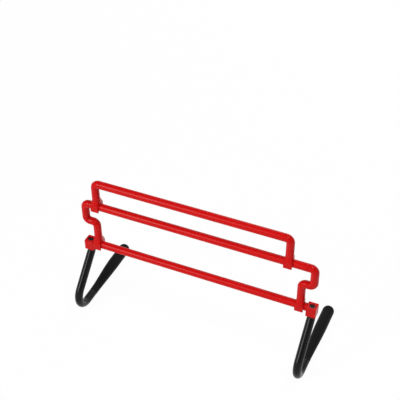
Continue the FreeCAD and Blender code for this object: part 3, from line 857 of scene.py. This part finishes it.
def red_extruded_abs(colours):
    """ABS drawn through a die: long fine lines along the tube in its gloss."""
    material, tree, shader, place = blank("red_extruded_abs")
    flow = add(tree, "ShaderNodeTexNoise", {"Vector": place, "Scale": per_metre(35), "Detail": 2.0})
    drawn = add(tree, "ShaderNodeMapping", {"Vector": place, "Scale": (0.02, 1, 1)}).outputs[0]
    lines = add(tree, "ShaderNodeTexNoise", {"Vector": drawn, "Scale": per_metre(0.9), "Detail": 3.0})
    patterned(
        tree, shader, colours.tube_red, tones=(0.94, 1.06), cloud=flow.outputs[0],
        gloss=(0.26, 0.36), grain=lines.outputs[0], bump=(0.2, 0.04 * MM),
    )
    shader.inputs["IOR"].default_value = ABS_IOR
    shader.inputs["Specular IOR Level"].default_value = 0.1
    return material


def black_vinyl(colours):
    """Soft PVC tubing: black and glossy, with a slow waviness from being pushed over the rod."""
    material, tree, shader, place = blank("black_vinyl")
    wave = add(tree, "ShaderNodeTexNoise", {"Vector": place, "Scale": per_metre(9), "Detail": 2.0})
    patterned(
        tree, shader, colours.sleeve_black, tones=(0.85, 1.2), cloud=wave.outputs[0],
        gloss=(0.24, 0.3), grain=wave.outputs[0], bump=(0.03, 0.1 * MM),
    )
    shader.inputs["IOR"].default_value = VINYL_IOR
    shader.inputs["Specular IOR Level"].default_value = 0.17
    return material


def black_rubber(colours):
    """Moulded rubber: matt black with a fine grain."""
    material, tree, shader, place = blank("black_rubber")
    # Real grain is a few tenths of a millimetre; it is drawn coarser so that it shows
    grain = add(tree, "ShaderNodeTexNoise", {"Vector": place, "Scale": per_metre(1.2), "Detail": 4.0})
    patterned(
        tree, shader, colours.boot_black, tones=(0.8, 1.25), cloud=grain.outputs[0],
        gloss=(0.48, 0.62), grain=grain.outputs[0], bump=(0.35, 0.1 * MM),
    )
    shader.inputs["IOR"].default_value = RUBBER_IOR
    shader.inputs["Specular IOR Level"].default_value = 0.08
    return material


def painted_steel(colours):
    """Steel rod dipped in dark enamel: a thin smooth coat with small runs."""
    material, tree, shader, place = blank("painted_steel")
    runs = add(tree, "ShaderNodeTexNoise", {"Vector": place, "Scale": per_metre(3), "Detail": 2.0})
    patterned(
        tree, shader, colours.rod_black, tones=(0.85, 1.2), cloud=runs.outputs[0],
        gloss=(0.3, 0.42), grain=runs.outputs[0],
    )
    shader.inputs["IOR"].default_value = ENAMEL_IOR
    return material


def sawn_steel(colours):
    """Tarnished steel at the sawn end of a rod: dark grey, with fine saw lines."""
    material, tree, shader, place = blank("sawn_steel")
    drawn = add(tree, "ShaderNodeMapping", {"Vector": place, "Scale": (1, 0.1, 1)}).outputs[0]
    lines = add(tree, "ShaderNodeTexNoise", {"Vector": drawn, "Scale": per_metre(0.8), "Detail": 2.0})
    patterned(tree, shader, colours.core_grey, tones=(0.8, 1.15), cloud=lines.outputs[0])
    shader.inputs["Metallic"].default_value = 0.6
    shader.inputs["Roughness"].default_value = 0.5
    return material


def studio_white(colours):
    """Matt white paper sweep, lit by the lamps near the hurdle and plain white further out.

    What camera, mirror and glass rays see goes from the lit paper to an even white, by a share that
    rises from its value under the hurdle to 1 further out.
    """
    material, tree, shader, place = blank("studio_white")
    tooth = add(tree, "ShaderNodeTexNoise", {"Vector": place, "Scale": per_metre(40), "Detail": 2.0})
    patterned(tree, shader, colours.floor_white, tones=(0.995, 1), cloud=tooth.outputs[0])
    shader.inputs["Roughness"].default_value = 0.9
    shader.inputs["Specular IOR Level"].default_value = 0.1
    rays = add(tree, "ShaderNodeLightPath").outputs
    mirror = {0: rays["Is Camera Ray"], 1: rays["Is Glossy Ray"]}
    seen = add(tree, "ShaderNodeMath", mirror, operation="MAXIMUM").outputs[0]
    glass = {0: seen, 1: rays["Is Transmission Ray"]}
    seen = add(tree, "ShaderNodeMath", glass, operation="MAXIMUM").outputs[0]
    away = add(tree, "ShaderNodeVectorMath", {0: place}, operation="LENGTH").outputs["Value"]
    ends = {1: WHITE_START, 2: WHITE_REACH, 3: WHITE_START_SHARE, 4: 1.0}
    even = add(tree, "ShaderNodeMapRange", {0: away, **ends}).outputs[0]
    share = add(tree, "ShaderNodeMath", {0: seen, 1: even}, operation="MULTIPLY").outputs[0]
    white = add(tree, "ShaderNodeEmission", {"Color": (1, 1, 1, 1), "Strength": 1.0}).outputs[0]
    mixed = add(tree, "ShaderNodeMixShader", {0: share, 1: shader.outputs[0], 2: white}).outputs[0]
    output = next(node for node in tree.nodes if node.type == "OUTPUT_MATERIAL")
    tree.links.new(mixed, output.inputs["Surface"])
    return material


FINISHES = {
    "red_moulded_abs": red_moulded_abs,
    "red_extruded_abs": red_extruded_abs,
    "black_vinyl": black_vinyl,
    "black_rubber": black_rubber,
    "painted_steel": painted_steel,
    "sawn_steel": sawn_steel,
    "studio_white": studio_white,
}


def finish(name):
    """The finish of this name, made on its first use."""
    found = bpy.data.materials.get(name)
    return found or FINISHES[name](bpy.context.scene.hurdle_colours)


def aimed(place, target, roll=0.0):
    """Matrix that looks from a place at a target, turned about its own view by roll."""
    place = Vector(place)
    view = (Vector(target) - place).normalized()
    level = view.cross(Vector((0, 0, 1))).normalized()
    upright = level.cross(view)
    right = math.cos(roll) * level + math.sin(roll) * upright
    up = right.cross(view)
    turn = Matrix((right, up, -view)).transposed()
    return Matrix.Translation(place) @ turn.to_4x4()


# Camera, worked out from the photo's perspective, in metres, radians and millimetres of lens
CAMERA_PLACE = Vector((0.5664, -1.2594, 1.4381))
CAMERA_VIEW = Vector((-0.32028, 0.70387, -0.63403))
CAMERA_ROLL = -0.01077
CAMERA_LENS = 84.9
CAMERA_SENSOR = 36
CAMERA_SIGHT = 50

# Sweep of floor, cove and wall, in metres
FLOOR_START = 0.05
FLOOR_RADIUS = 9.0
WALL_HEIGHT = 4.0
COVE_RADIUS = 1.5

# Lamps: place, target and sides in metres, and watts. The wide one draws the bands on the bars
LAMPS = {
    "fill_lamp": ((0.45, -1.4, 1.7), (0, 0, 0.12), (0.5, 0.5), 2),
    "glint_lamp": ((0.6, -0.2, 1.5), (0.1, 0, 0.2), (0.2, 0.2), 6),
    "back_lamp": ((0.2, 1.5, 1.3), (0, 0, 0.12), (2.0, 1.4), 13),
    "wide_lamp": ((-1.65, -2.7, 2.1), (0, 0, 0.15), (1.1, 1.8), 84),
}
SKY_STRENGTH = 0.22


def sweep_mesh():
    """Round floor that turns up into a wall.

    At turn v a point is (reach cos v, reach sin v, rise). Over the cove, at quarter turn u, the reach
    grows by cove * sin(u) and the rise by cove * (1 - cos(u)).
    """
    turn = angles(SWEEP_AROUND)[None, :]
    u = np.linspace(0, np.pi / 2, COVE_POINTS)[1:]
    cove_start = FLOOR_RADIUS - COVE_RADIUS
    near = np.geomspace(FLOOR_START, cove_start, FLOOR_RINGS)
    cove = cove_start + COVE_RADIUS * np.sin(u)
    reach = np.concatenate([near, cove, [FLOOR_RADIUS]])[:, None]
    cove_rise = COVE_RADIUS * (1 - np.cos(u))
    rise = np.concatenate([np.zeros(near.size), cove_rise, [WALL_HEIGHT]])[:, None]
    rise = np.broadcast_to(rise, (reach.size, turn.size))
    rings = np.stack([reach * np.cos(turn), reach * np.sin(turn), rise], axis=-1)
    rows, around = rings.shape[:2]
    points = np.vstack([rings.reshape(-1, 3), [[0, 0, 0]]])
    place = np.arange(around)
    fan = np.column_stack([np.full(around, rows * around), place, (place + 1) % around])
    faces = grid_quads(rows, around)[:, ::-1].tolist() + fan.tolist()
    mesh = bpy.data.meshes.new("studio_sweep")
    mesh.from_pydata(points.tolist(), [], faces)
    mesh.shade_smooth()
    return mesh


class HURDLE_OT_stage(bpy.types.Operator):
    """Lay the floor, hang the lamps and set the camera"""

    bl_idname = "hurdle.stage"
    bl_label = "Studio"

    def execute(self, context):
        scene = context.scene
        sweep = sweep_mesh()
        sweep.materials.append(finish("studio_white"))
        new_object("studio_sweep", sweep)

        for name, (place, target, sides, watts) in LAMPS.items():
            lamp = bpy.data.lights.new(name, "AREA")
            lamp.shape = "RECTANGLE"
            lamp.size, lamp.size_y = sides
            lamp.energy = watts
            new_object(name, lamp).matrix_world = aimed(place, target)

        world = bpy.data.worlds.new("studio_world")
        world.use_nodes = True
        tree = world.node_tree
        tree.nodes.clear()
        sky = add(tree, "ShaderNodeBackground", {"Color": (1, 1, 1, 1), "Strength": SKY_STRENGTH})
        add(tree, "ShaderNodeOutputWorld", {"Surface": sky.outputs[0]})
        scene.world = world

        lens = bpy.data.cameras.new("camera")
        lens.lens = CAMERA_LENS
        lens.sensor_width = CAMERA_SENSOR
        lens.clip_end = CAMERA_SIGHT
        camera = new_object("camera", lens)
        camera.matrix_world = aimed(CAMERA_PLACE, CAMERA_PLACE + CAMERA_VIEW, CAMERA_ROLL)
        scene.camera = camera
        scene.view_settings.view_transform = "Standard"
        return {"FINISHED"}


class HURDLE_PT_panel(bpy.types.Panel):
    """List of the pieces and their settings"""

    bl_idname = "HURDLE_PT_panel"
    bl_label = "Speed Hurdle"
    bl_space_type = "VIEW_3D"
    bl_region_type = "UI"
    bl_category = "Hurdle"

    def draw(self, context):
        for operator in OPERATORS:
            self.layout.operator(operator.bl_idname)
        for group in (context.scene.hurdle_sizes, context.scene.hurdle_colours):
            column = self.layout.column()
            for name in group.__annotations__:
                column.prop(group, name)


OPERATORS = (
    HURDLE_OT_stage,
    HURDLE_OT_bars,
    HURDLE_OT_sockets,
    HURDLE_OT_arms,
    HURDLE_OT_legs,
)
CLASSES = (HurdleSizes, HurdleColours, *OPERATORS, HURDLE_PT_panel)


def register():
    for kind in CLASSES:
        bpy.utils.register_class(kind)
    bpy.types.Scene.hurdle_sizes = PointerProperty(type=HurdleSizes)
    bpy.types.Scene.hurdle_colours = PointerProperty(type=HurdleColours)


def unregister():
    del bpy.types.Scene.hurdle_colours
    del bpy.types.Scene.hurdle_sizes
    for kind in reversed(CLASSES):
        bpy.utils.unregister_class(kind)


def main():
    """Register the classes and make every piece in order."""
    register()
    bpy.ops.hurdle.stage()
    bpy.ops.hurdle.bars()
    bpy.ops.hurdle.sockets()
    bpy.ops.hurdle.arms()
    bpy.ops.hurdle.legs()


if __name__ == "__main__":
    main()
